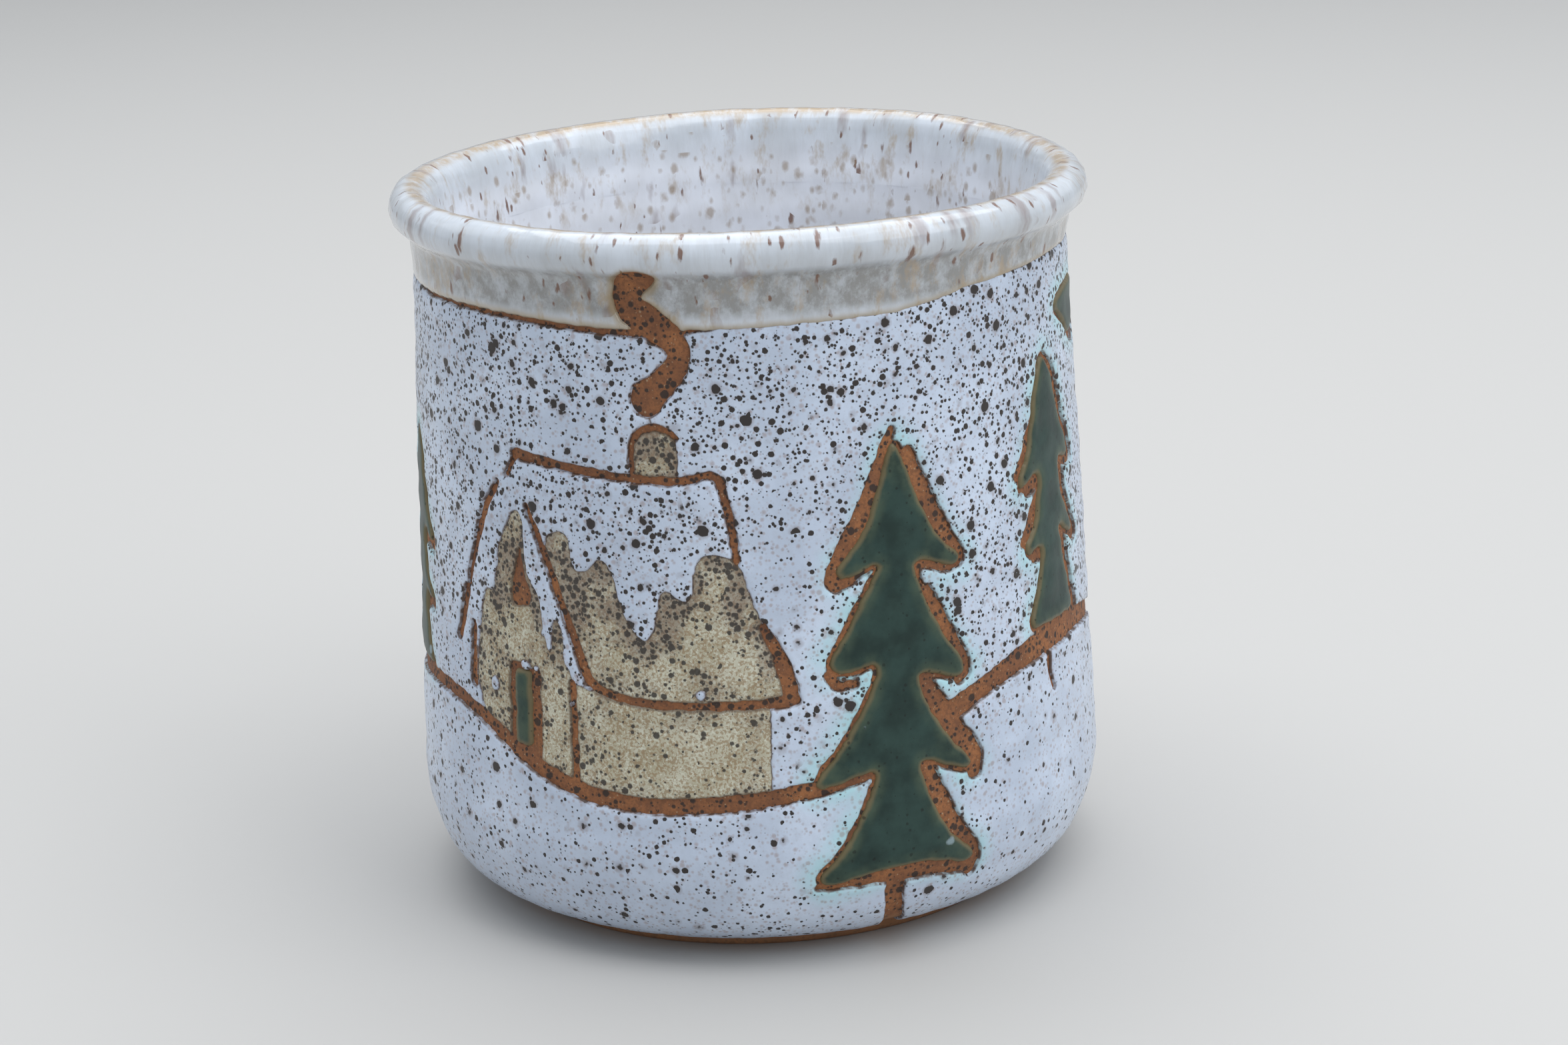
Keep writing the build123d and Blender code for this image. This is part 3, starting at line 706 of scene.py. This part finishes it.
class Shader:
    """A material with one Principled shader and a running colour, and short ways to add nodes."""

    def __init__(self, name, **sockets):
        self.material = bpy.data.materials.new(name)
        self.material.use_nodes = True
        self.tree = self.material.node_tree
        self.principled = self.tree.nodes["Principled BSDF"]
        self.where = self.add("ShaderNodeTexCoord").outputs["Object"]
        self.colour = None
        for socket, value in sockets.items():
            self.link(value, self.principled.inputs[socket.replace("_", " ")])

    def link(self, value, socket):
        """Links an output, or sets a plain value, where a colour may have three numbers."""
        if isinstance(value, bpy.types.NodeSocket):
            self.tree.links.new(value, socket)
        elif isinstance(value, tuple) and socket.type == "RGBA":
            socket.default_value = (*value, 1)
        else:
            socket.default_value = value

    def add(self, kind, settings=(), **sockets):
        """A new node with its settings and its inputs."""
        node = self.tree.nodes.new(kind)
        for key, value in dict(settings).items():
            setattr(node, key, value)
        for socket, value in sockets.items():
            self.link(value, node.inputs[socket.replace("_", " ")])
        return node

    def math(self, operation, a, b=0.0, clamp=False):
        """One Math node's result."""
        node = self.add("ShaderNodeMath", {"operation": operation, "use_clamp": clamp})
        self.link(a, node.inputs[0])
        self.link(b, node.inputs[1])
        return node.outputs[0]

    def times(self, *values):
        """The product of some values."""
        return reduce(lambda a, b: self.math("MULTIPLY", a, b), values)

    def most(self, *values):
        """The largest of some values."""
        return reduce(lambda a, b: self.math("MAXIMUM", a, b), values)

    def mix(self, share, a, b):
        """Colour a, with a share of colour b."""
        node = self.add("ShaderNodeMix", {"data_type": "RGBA"})
        for index, value in ((0, share), (6, a), (7, b)):
            self.link(value, node.inputs[index])
        return node.outputs[2]

    def tint(self, colour, *shares):
        """Lays a colour over the running one, by the product of some shares."""
        self.colour = self.mix(self.times(*shares), self.colour, colour)

    def spread(self, value, low, high, to_low=0.0, to_high=1.0):
        """A value's place between low and high, carried over smoothly to another range."""
        node = self.add("ShaderNodeMapRange", {"interpolation_type": "SMOOTHSTEP"})
        for index, number in enumerate((value, low, high, to_low, to_high)):
            self.link(number, node.inputs[index])
        return node.outputs[0]

    def near(self, value, middle, outer, inner, *ends):
        """How near a value is to a middle: 0 from outer away, and 1 closer than inner."""
        away = self.math("ABSOLUTE", self.math("SUBTRACT", value, middle))
        return self.spread(away, outer, inner, *ends)

    def stretched(self, across, upright, shift):
        """Coordinates in millimetres, scaled across and upright."""
        node = self.add("ShaderNodeMapping", Vector=self.where)
        node.inputs["Scale"].default_value = (across / MM, across / MM, upright / MM)
        node.inputs["Location"].default_value = (shift, 2 * shift, 3 * shift)
        return node.outputs[0]

    def noise(self, size, detail=3.0, roughness=0.55, upright=1.0, shift=0.0):
        """Noise with features of a size in millimetres."""
        at = self.stretched(1 / size, upright / size, shift)
        node = self.add("ShaderNodeTexNoise", Vector=at, Detail=detail, Roughness=roughness, Scale=1.0)
        return node.outputs["Fac"]

    def specks(self, cell, radii, share, shift, soft, upright=1.0, rough=0.2):
        """1 inside round specks in a share of the cells, with radii in millimetres."""
        at = self.stretched(1 / cell, upright / cell, shift)
        wobble = self.add("ShaderNodeTexNoise", Vector=at, Detail=2.0, Scale=WOBBLE_SCALE)
        pushed = self.add("ShaderNodeVectorMath", {"operation": "MULTIPLY_ADD"})
        for index, value in enumerate((wobble.outputs["Color"], (rough,) * 3, at)):
            self.link(value, pushed.inputs[index])
        cells = self.add("ShaderNodeTexVoronoi", Vector=pushed.outputs[0], Scale=1.0)
        dice = self.add("ShaderNodeSeparateColor", Color=cells.outputs["Color"])
        size = self.math("POWER", dice.outputs["Green"], MOSTLY_SMALL)
        size = self.math("MULTIPLY_ADD", size, radii[1] - radii[0])
        size.node.inputs[2].default_value = radii[0]
        chosen = self.math("LESS_THAN", dice.outputs["Red"], share)
        away = self.times(cells.outputs["Distance"], cell)
        inside = self.math("SUBTRACT", self.times(size, chosen), away)
        inside = self.math("ADD", self.math("DIVIDE", inside, soft), 0.5, clamp=True)
        return self.times(inside, chosen)

    def attribute(self, name, output="Fac"):
        """What the mesh says at each point."""
        return self.add("ShaderNodeAttribute", {"attribute_name": name}).outputs[output]

    def bump(self, height, depth, strength, under=None):
        """Bump whose height runs over a depth in millimetres, on top of another."""
        node = self.add("ShaderNodeBump", Height=height, Strength=strength, Distance=depth * MM)
        if under is not None:
            self.link(under, node.inputs["Normal"])
        return node.outputs[0]

    def finish(self, normal):
        """The material, with its running colour and its bump in place."""
        self.link(self.colour, self.principled.inputs["Base Color"])
        self.link(normal, self.principled.inputs["Normal"])
        return self.material


def white_material():
    """Satin white over iron-rich clay: cool white, speckled with iron, turquoise by the green."""
    made = Shader("white_glaze", Coat_Weight=0.2, Coat_Roughness=0.2)
    higher = made.spread(made.attribute("along"), -78.0, -48.0, 0.34, 1.0)
    patchy = made.spread(made.noise(9.0, shift=4.0), 0.3, 0.6, 0.8, 1.15)
    free = made.spread(made.attribute("calm"), 0.0, 1.0, 1.0, 0.4)
    density = made.times(higher, patchy, free)
    cloud = made.spread(made.noise(14.0, 4.0), 0.35, 0.68)
    made.colour = made.mix(cloud, *WHITES)
    made.tint(WHITE_GREY, made.spread(made.noise(1.1, 4.0, 0.7), 0.42, 0.7), 0.25)
    halo = made.spread(made.attribute("halo"), 4.2, 0.5)
    made.tint(TURQUOISE, halo, made.spread(made.noise(3.5), 0.28, 0.6, 0.35, 1.0))
    under = made.most(
        made.specks(1.0, (0.12, 0.36), 0.8, 7.0, 0.25),
        made.specks(0.6, (0.08, 0.24), 0.8, 8.0, 0.2),
    )
    made.tint(IRON_UNDER, under, 0.5)
    share = made.times(density, 0.85)
    spots = made.most(
        made.specks(2.3, (0.3, 0.75), share, 1.0, 0.09),
        made.specks(1.15, (0.18, 0.46), share, 2.0, 0.08),
        made.specks(0.68, (0.09, 0.25), share, 3.0, 0.08),
        made.specks(0.85, (0.12, 0.32), made.times(density, 0.8), 11.0, 0.08),
    )
    made.tint(IRON_SOFT, made.specks(2.3, (0.36, 0.98), share, 1.0, 0.5), 0.45)
    made.tint(IRON, spots)
    thin = made.spread(made.attribute("edge"), 0.34, 0.1)
    made.tint(IRON_EDGE, thin, made.spread(made.noise(1.3), 0.32, 0.58, 0.2, 1.0))
    made.link(made.spread(spots, 0.0, 1.0, 0.34, 0.5), made.principled.inputs["Roughness"])
    skin = made.bump(made.noise(2.2), 0.10, 0.7)
    return made.finish(made.bump(made.math("SUBTRACT", 1.0, spots), 0.05, 0.6, skin))


def rim_material():
    """Glossy cream with painted shade in streaks under the lip, brown runs and a tan break on its
    crest.
    """
    made = Shader("rim_glaze", Roughness=0.17, Coat_Weight=0.4, Coat_Roughness=0.07)
    made.where = made.attribute("unrolled", "Vector")
    along = made.attribute("along")
    broad = made.spread(made.noise(7.0, upright=0.8, shift=3.0), 0.3, 0.7)
    made.colour = made.mix(broad, *CREAMS)
    made.tint(STREAK, made.spread(made.noise(0.9, 4.0, 0.7, upright=0.22), 0.4, 0.66), 0.13)
    # Painted shade: a darker grey band under the lip roll, where shade falls, broken into streaks by
    # noise
    shade_streaks = made.spread(made.noise(2.6, 5.0, 0.7, upright=0.75), 0.33, 0.62, 0.3, 0.95)
    made.tint(UNDER_LIP_SHADE, made.near(along, -8.6, 4.2, 2.2), shade_streaks)
    inside = made.spread(along, 3.0, 9.0)
    made.tint(made.mix(broad, *INSIDE_CREAMS), inside)
    stain = made.spread(made.noise(3.0, 4.0, 0.7, upright=0.5, shift=9.0), 0.5, 0.72)
    made.tint(STAIN, stain, made.spread(along, 22.0, 4.0), 0.75)
    ragged = made.spread(made.noise(2.6, 4.0, 0.75), 0.33, 0.6, 0.25, 1.0)
    made.tint(TAN, made.near(along, 0.5, 1.3, 0.3), ragged)
    patches = made.spread(made.noise(13.0, shift=6.0), 0.36, 0.6, 0.2, 1.1)
    lip = made.times(made.near(along, -2.0, 16.0, 3.0, 0.3, 0.9), patches)
    share = made.times(lip, 0.8)
    runs = made.most(
        made.specks(1.8, (0.16, 0.5), share, 5.0, 0.2, 0.36, 0.45),
        made.specks(1.2, (0.1, 0.36), share, 6.0, 0.14, 0.5, 0.3),
        made.times(made.specks(3.4, (0.5, 1.3), lip, 4.0, 0.8, 0.4, 0.5), 0.55),
    )
    made.tint(RUST, runs, 0.88)
    soft = made.most(
        made.specks(3.0, (0.35, 0.95), made.times(inside, 0.8), 8.0, 0.6, 0.9, 0.4),
        made.specks(1.7, (0.2, 0.6), made.times(inside, 0.85), 9.0, 0.4, 0.8),
    )
    made.tint(TAWNY, soft, 0.6)
    made.tint(YELLOW_EDGE, made.spread(made.attribute("edge"), 1.3, 0.2), 0.7)
    return made.finish(made.bump(made.noise(1.6, upright=0.4), 0.12, 0.6))


def green_material():
    """Deep green pool of glaze that thins to olive and tan at its edge."""
    made = Shader("green_glaze", Roughness=0.4, Specular_IOR_Level=0.3)
    edge = made.attribute("edge")
    made.colour = made.mix(made.spread(made.noise(4.5, 4.0), 0.32, 0.7), *GREENS)
    made.tint(OLIVE, made.spread(edge, 2.2, 0.5), made.spread(made.noise(2.5), 0.3, 0.65, 0.1, 0.75))
    made.tint(GREEN_EDGE, made.spread(edge, 0.8, 0.12), 0.85)
    made.tint(PALE_FLECK, made.specks(5.5, (0.3, 0.75), 0.45, 4.0, 0.25), 0.6)
    made.tint(GREEN_BLACK, made.specks(0.9, (0.06, 0.24), 0.6, 2.0, 0.1), 0.6)
    return made.finish(made.bump(made.noise(2.0), 0.09, 0.6))


def ochre_material():
    """Dry sandy wash, grainy, with iron that gathers along the snow."""
    made = Shader("ochre_glaze", Roughness=0.62, Coat_Weight=0.05, Coat_Roughness=0.4)
    made.colour = made.mix(made.spread(made.noise(5.0, 4.0), 0.32, 0.7), *SANDS)
    made.tint(SAND_BROWN, made.spread(made.noise(0.36, 2.0, 0.6), 0.46, 0.56), 0.66)
    made.tint(SAND_PALE, made.spread(made.noise(0.42, 2.0, 0.6, shift=5.0), 0.54, 0.64), 0.55)
    higher = made.spread(made.attribute("along"), -62.0, -44.0, 0.45, 1.0)
    patchy = made.spread(made.noise(4.5, shift=2.0), 0.34, 0.62, 0.5, 1.25)
    by_snow = made.spread(made.attribute("drip"), -6.0, -0.3, 0.38, 1.35)
    density = made.times(by_snow, patchy, higher)
    made.tint(SAND_DUSK, made.spread(density, 0.35, 1.2), 0.6)
    spots = made.most(
        made.specks(1.2, (0.22, 0.55), density, 3.0, 0.12),
        made.specks(0.62, (0.12, 0.3), density, 1.0, 0.1),
        made.specks(0.85, (0.24, 0.5), made.spread(density, 0.5, 0.9, 0.0, 1.1), 5.0, 0.15),
    )
    made.tint(SAND_IRON, spots, 0.92)
    made.tint(SAND_EDGE, made.spread(made.attribute("edge"), 0.45, 0.1), 0.7)
    return made.finish(made.bump(made.noise(0.5, 3.0, 0.7), 0.06, 0.6))


def clay_material():
    """Bare fired stoneware: toasted orange brown, matte, with dark iron."""
    made = Shader("bare_clay", Roughness=0.7)
    made.colour = made.mix(made.spread(made.noise(6.0, 4.0), 0.3, 0.7), *CLAYS)
    made.tint(CLAY_DARK, made.spread(made.noise(0.5, 4.0, 0.7), 0.42, 0.6), 0.5)
    made.tint(CLAY_PALE, made.specks(0.5, (0.05, 0.14), 0.5, 6.0, 0.06), 0.6)
    spots = made.most(
        made.specks(1.2, (0.24, 0.58), 0.9, 2.0, 0.14),
        made.specks(0.66, (0.1, 0.3), 0.9, 3.0, 0.1),
    )
    made.tint(CLAY_IRON, spots, 0.9)
    made.tint(CLAY_FOOT, made.spread(made.attribute("along"), -93.0, -95.0), 0.6)
    return made.finish(made.bump(made.noise(0.6, 4.0, 0.7), 0.09, 0.7))


white_glaze, rim_glaze, green_glaze = white_material(), rim_material(), green_material()
ochre_glaze, bare_clay = ochre_material(), clay_material()


# --- Pieces ---


def grid_faces(rows, n):
    """Faces between rings of n points, in one winding all over."""
    return [
        (row * n + k, row * n + (k + 1) % n, (row + 1) * n + (k + 1) % n, (row + 1) * n + k)
        for row in range(rows - 1) for k in range(n)
    ]


def revolved(t_values, h, first_closed, last_closed):
    """Grid of points round the mug at some places along the profile, with its faces."""
    s = np.linspace(-HALF, HALF, LINER_SEGMENTS + 1)[:-1]
    points = place(s[None, :], np.asarray(t_values)[:, None], h).reshape(-1, 3)
    rows, n = len(t_values), LINER_SEGMENTS
    faces = grid_faces(rows, n)
    if first_closed:
        faces.append(tuple(range(n))[::-1])
    if last_closed:
        faces.append(tuple((rows - 1) * n + k for k in range(n)))
    return points, faces


def clay_body():
    """The thrown clay, all the way from the underside to the floor inside."""
    t_values = np.concatenate([
        np.arange(4, T_FOOT_EDGE - 2, 2.5), np.arange(T_FOOT_EDGE - 2, T_GLAZE + 8, 0.35),
        np.arange(T_GLAZE + 8, T_LIP - 12, 0.9), np.arange(T_LIP - 12, T_MEET, 0.45),
        np.arange(T_MEET, T_ALL[-1] - 4, 1.6),
    ])
    points, faces = revolved(t_values, 0.0, True, True)
    along = np.repeat(t_values - T_LIP, LINER_SEGMENTS)
    thing = mesh_object("mug_body", points, faces, bare_clay, {"along": along}, sharp=35)
    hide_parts("clay_body")


def liner():
    """Glaze poured over the floor and the inside wall, up to the rim glaze."""
    t_values = np.append(np.arange(T_MEET, T_ALL[-1] - 3, 1.0), T_ALL[-1] - 3)
    full = RIM[0]
    outer, faces = revolved(t_values, full, False, True)
    inner, _ = revolved(t_values, -SUNK, False, False)
    n, count = LINER_SEGMENTS, len(outer)
    back = [tuple(count + k for k in face)[::-1] for face in faces]
    ends = [(k, count + k, count + (k + 1) % n, (k + 1) % n) for k in range(n)]
    t = np.tile(np.repeat(t_values, n), 2)
    s = np.tile(np.linspace(-HALF, HALF, n + 1)[:-1], 2 * len(t_values))
    attributes = {"edge": np.full(len(t), REACH), "along": t - T_LIP, "unrolled": unrolled(s, t)}
    points, faces = np.concatenate([outer, inner]), faces + back + ends
    thing = mesh_object("liner_coat", points, faces, rim_glaze, attributes)
    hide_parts("liner_glaze")


ABOVE_SNOW = 44.0  # height that only the sky reaches
DROP_FACES = 200  # a white piece with fewer faces is a drop on the cottage, and goes with the sky
STRAY_FACES = 60  # one with fewer still is left out, unless it is one of the drops above


def coats():
    """The rim band, the white fields and all the coloured ones."""
    at, deep, faces = triangulated(rim, top=T_MEET)
    coat_object("rim_coat", (at, deep, faces), RIM, rim_glaze, "rim_glaze")
    at, deep, faces = triangulated(white)
    sky, snow = [], []
    for group in islands(faces):
        s, t = at[group].mean((0, 1))
        if len(group) < STRAY_FACES and min(hypot(s - x, t - up(z)) for x, z, _ in DROPS) > 1:
            continue
        in_sky = at[group][..., 1].max() > up(ABOVE_SNOW) or len(group) < DROP_FACES
        (sky if in_sky else snow).append(group)
    for name, groups in (("sky", sky), ("snow", snow)):
        triangles = (at, deep, np.concatenate(groups))
        coat_object(name + "_coat", triangles, WHITE, white_glaze, name + "_glaze")
    for name, field in ochres.items():
        field = np.minimum(-field - other_hand + 0.35, ochre_lines)
        coat_name = name.replace("glaze", "coat")
        coat_object(coat_name, triangulated(field), OCHRE, ochre_glaze, name)
    for name, field in fir_fields.items():
        coat_name, field = name.replace("glaze", "coat"), other_hand - field
        coat_object(coat_name, triangulated(field), GREEN, green_glaze, name)
    coat_object("door_coat", triangulated(door), GREEN, green_glaze, "door_glaze")


# Handle: a pulled strap that leaves the wall wide and thins on its way down
HANDLE_LINE = [
    (0, 42, 77), (0, 52, 79.2), (0, 64, 80), (0, 72, 75), (0, 75, 65), (0, 72, 52), (0, 65.5, 39.5),
    (0, 56, 33), (0, 43.6, 28.4),
]
HANDLE_WIDTH = (17.6, 14.4)
HANDLE_THICKNESS = (8.0, 6.6)
STRAP_STEPS = 110
STRAP_SIDES = 64


def strap(grow):
    """Rings of points round the handle's line, and how far each is along it."""
    line = np.array(rounded(HANDLE_LINE, False, None, 5))
    length = np.append(0, np.cumsum(np.linalg.norm(np.diff(line, axis=0), axis=1)))
    at = np.linspace(0, length[-1], STRAP_STEPS)
    y, z = np.interp(at, length, line[:, 1]), np.interp(at, length, line[:, 2])
    way = np.stack([np.gradient(y), np.gradient(z)])
    way /= np.hypot(*way)
    share = at / length[-1]
    near = np.exp(-((np.minimum(at, length[-1] - at) - 1) / 7.0) ** 2)
    wide = np.interp(share, [0, 1], HANDLE_WIDTH) / 2 + 3.4 * near + grow
    thick = np.interp(share, [0, 1], HANDLE_THICKNESS) / 2 + 2.8 * near + grow
    turn = np.linspace(0, 2 * pi, STRAP_SIDES, endpoint=False)
    flat = np.sign(np.cos(turn)) * np.abs(np.cos(turn)) ** 0.86
    tall = np.sign(np.sin(turn)) * np.abs(np.sin(turn)) ** 0.9
    dent = 1 - 0.13 * np.exp(-((np.cos(turn) / 0.3) ** 2)) * (np.sin(turn) > 0)
    uneven = 1 + 0.012 * np.sin(3.1 * at[:, None] / 6 + 2 * turn)
    x = wide[:, None] * flat * uneven
    y = y[:, None] + near[:, None] * ((WALL_RADIUS**2 - x**2) ** 0.5 - WALL_RADIUS)
    out = thick[:, None] * tall * dent * uneven
    rings = np.stack([x, y - way[1][:, None] * out, z[:, None] + way[0][:, None] * out], -1)
    return rings, np.broadcast_to(at[:, None], x.shape), length[-1]


def tube(rings, inward=False):
    """Faces between the strap's rings, which face outwards or inwards, without end caps."""
    faces = grid_faces(*rings.shape[:2])
    return faces if inward else [face[::-1] for face in faces]


def handle():
    """The clay strap and the white glaze over it."""
    core, _, _ = strap(-0.02)
    n = STRAP_SIDES
    points = core.reshape(-1, 3) * MM
    caps = [tuple(range(n)), tuple(len(points) - n + k for k in range(n))[::-1]]
    clay = mesh_object("handle_strap", points, tube(core) + caps, bare_clay)
    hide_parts("handle")
    outer, at, total = strap(0.5)
    count = outer.shape[0] * n
    points = np.concatenate([outer.reshape(-1, 3), core.reshape(-1, 3)]) * MM
    faces = tube(outer) + [tuple(count + k for k in face) for face in tube(core, True)]
    last = count - n
    for k in range(n):
        after = (k + 1) % n
        faces.append((k, after, count + after, count + k))
        faces.append((last + after, last + k, count + last + k, count + last + after))
    turn = np.linspace(0, 2 * pi, n, endpoint=False)
    edge = np.broadcast_to(np.clip(0.23 + 6 * (1 - np.abs(np.cos(turn)) ** 0.5), 0, REACH), at.shape)
    attributes = {
        "edge": np.tile(edge.ravel(), 2),
        "halo": np.full(2 * count, REACH),
        "along": np.full(2 * count, -40.0),
    }
    glaze = mesh_object("handle_coat", points, faces, white_glaze, attributes)
    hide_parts("handle_glaze")


clay_body()
liner()
coats()
handle()


# --- Floor, light and camera ---


def studio():
    """Plain pale floor that rises behind, and soft light from above."""
    size, rise, back = 1.6, 0.5, 1.2
    curve = [(-size, 0), (back, 0)]
    curve += [(back + rise * sin(a), rise - rise * cos(a)) for a in np.linspace(0.1, pi / 2, 16)]
    points = np.array([(x, y, z) for y, z in curve for x in (-2 * size, 2 * size)])
    faces = [(2 * k, 2 * k + 1, 2 * k + 3, 2 * k + 2) for k in range(len(curve) - 1)]
    mesh = bpy.data.meshes.new("floor")
    mesh.from_pydata(points.tolist(), [], faces)
    mesh.shade_smooth()
    mesh.materials.append(Shader("floor", Base_Color=(0.52, 0.505, 0.48), Roughness=0.75).material)
    floor = bpy.data.objects.new("floor", mesh)
    bpy.context.scene.collection.objects.link(floor)
    floor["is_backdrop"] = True
    world = bpy.data.worlds.new("soft_light")
    bpy.context.scene.world = world
    world.use_nodes = True
    background = world.node_tree.nodes["Background"].inputs
    background["Color"].default_value = (0.86, 0.92, 1.0, 1)
    background["Strength"].default_value = 0.68
    lights = [("key", (0.7, -0.45, 0.75), 0.8, 3.6), ("sky", (0.05, 0.15, 0.95), 1.2, 9.5)]
    lights += [("left", (-0.75, 0.35, 0.7), 0.5, 0.4)]
    for name, spot, width, power in lights:
        lamp = bpy.data.lights.new(name, "AREA")
        lamp.size, lamp.energy, lamp.color = width, power, (0.95, 0.97, 1.0)
        thing = bpy.data.objects.new(name, lamp)
        thing.location = spot
        thing.rotation_euler = (Vector((0, 0, 0.05)) - Vector(spot)).to_track_quat("-Z", "Y").to_euler()
        bpy.context.scene.collection.objects.link(thing)


def camera():
    """Camera in front of the cottage, a little above the rim."""
    yaw, pitch, roll = radians(0.55), radians(16.42), radians(-2.33)
    ahead = Vector((sin(yaw) * cos(pitch), cos(yaw) * cos(pitch), -sin(pitch)))
    right = Vector((cos(yaw), -sin(yaw), 0))
    above = right.cross(ahead)
    right, above = cos(roll) * right + sin(roll) * above, -sin(roll) * right + cos(roll) * above
    lens = bpy.data.cameras.new("camera")
    lens.lens, lens.sensor_width = 80.0, 36.0
    lens.clip_start = 0.01
    thing = bpy.data.objects.new("camera", lens)
    turned = Matrix((right, above, -ahead)).transposed().to_4x4()
    thing.matrix_world = Matrix.Translation((0, -0.4555, 0.1809)) @ turned
    bpy.context.scene.collection.objects.link(thing)
    bpy.context.scene.camera = thing


studio()
camera()
bpy.context.scene.view_settings.view_transform = "Standard"

boxes = {"cad": cad_box, "visual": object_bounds()}
boxes = {key: [list(map(float, corner)) for corner in box] for key, box in boxes.items()}
